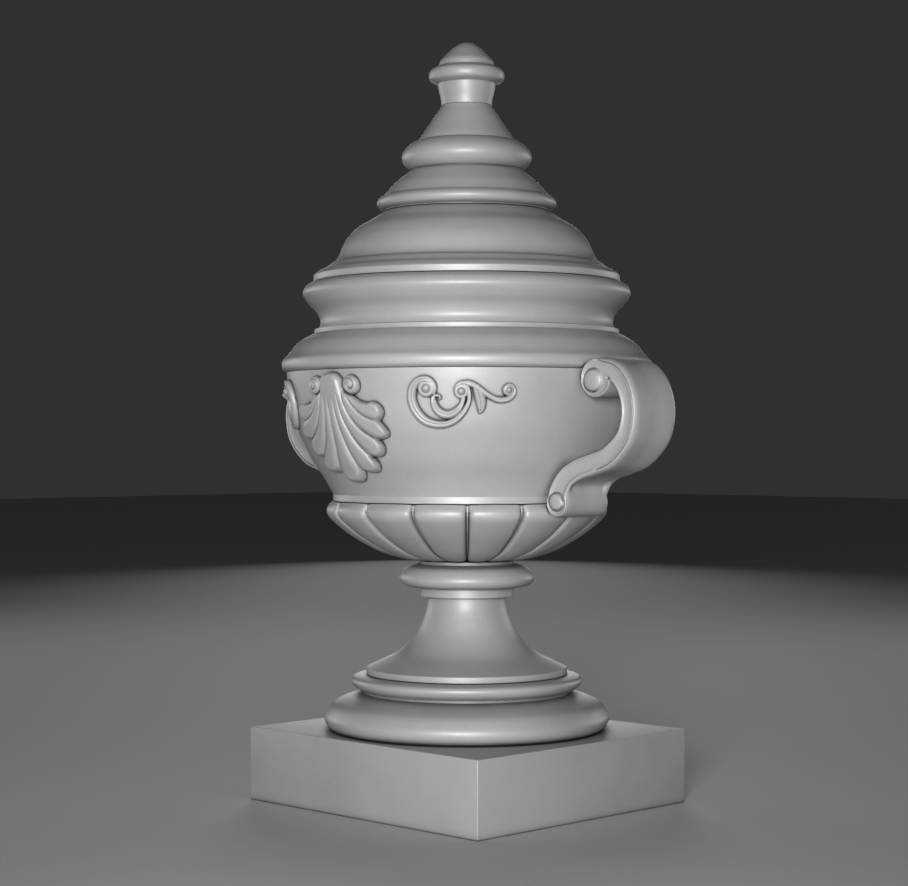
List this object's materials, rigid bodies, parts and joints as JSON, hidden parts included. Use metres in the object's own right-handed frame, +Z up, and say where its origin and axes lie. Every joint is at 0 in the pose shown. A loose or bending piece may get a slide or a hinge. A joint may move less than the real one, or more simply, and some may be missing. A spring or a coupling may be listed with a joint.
{
  "type": "lidded garden urn",
  "caption": "Turned cast-stone urn with a lift-off tiered lid, scrolled strap handles, a gadrooned bowl, shell and scroll reliefs, on a rectangular plinth.",
  "frame": {"origin": "middle of the plinth's underside", "axes": "+Z up along the turned axis, X through the two handles, Y through the two shells"},
  "size_m": [0.5832, 0.445, 0.9],
  "materials": {
    "urn_stone": "fine honed cast stone, satin",
    "plinth_stone": "fine sawn cast stone, matt",
    "relief_stone": "fine honed cast stone, satin",
    "handle_stone": "fine honed cast stone, satin",
    "lid_stone": "fine honed cast stone, satin",
    "fixing_steel": "plain drawn bar",
    "seat_rubber": "matt"
  },
  "bodies": {
    "root": {"plinth": "plinth_stone", "foot_torus": "urn_stone", "foot_ring": "urn_stone", "stem": "urn_stone", "knop": "urn_stone", "gadroon_bowl": "urn_stone", "body_wall": "urn_stone", "shoulder": "urn_stone", "rim": "urn_stone", "handle_right": "handle_stone", "handle_left": "handle_stone", "shell_front": "relief_stone", "shell_back": "relief_stone", "scroll_front_right": "relief_stone", "scroll_front_left": "relief_stone", "scroll_back_right": "relief_stone", "scroll_back_left": "relief_stone", "dowel_right_top": "fixing_steel", "dowel_right_foot": "fixing_steel", "dowel_left_top": "fixing_steel", "dowel_left_foot": "fixing_steel", "tie_rod": "fixing_steel", "foot_washer": "fixing_steel", "foot_nut": "fixing_steel", "bowl_washer": "fixing_steel", "bowl_nut": "fixing_steel"},
    "seat": {"seat_ring": "seat_rubber"},
    "lid": {"lid_plate": "lid_stone", "lid_dome": "lid_stone", "lid_tier": "lid_stone", "lid_knop": "lid_stone", "finial": "lid_stone", "finial_cap": "lid_stone", "lid_rod": "fixing_steel", "lid_washer": "fixing_steel", "lid_nut": "fixing_steel"}
  },
  "joints": [
    {"name": "lid_turn", "type": "hinge", "parent": "root", "child": "seat", "pos_m": [0, 0, 0.6154], "axis": [0, 0, 1], "continuous": true},
    {"name": "lid_lift", "type": "slide", "parent": "seat", "child": "lid", "axis": [0, 0, 1], "range_m": [0, 0.25]}
  ]
}
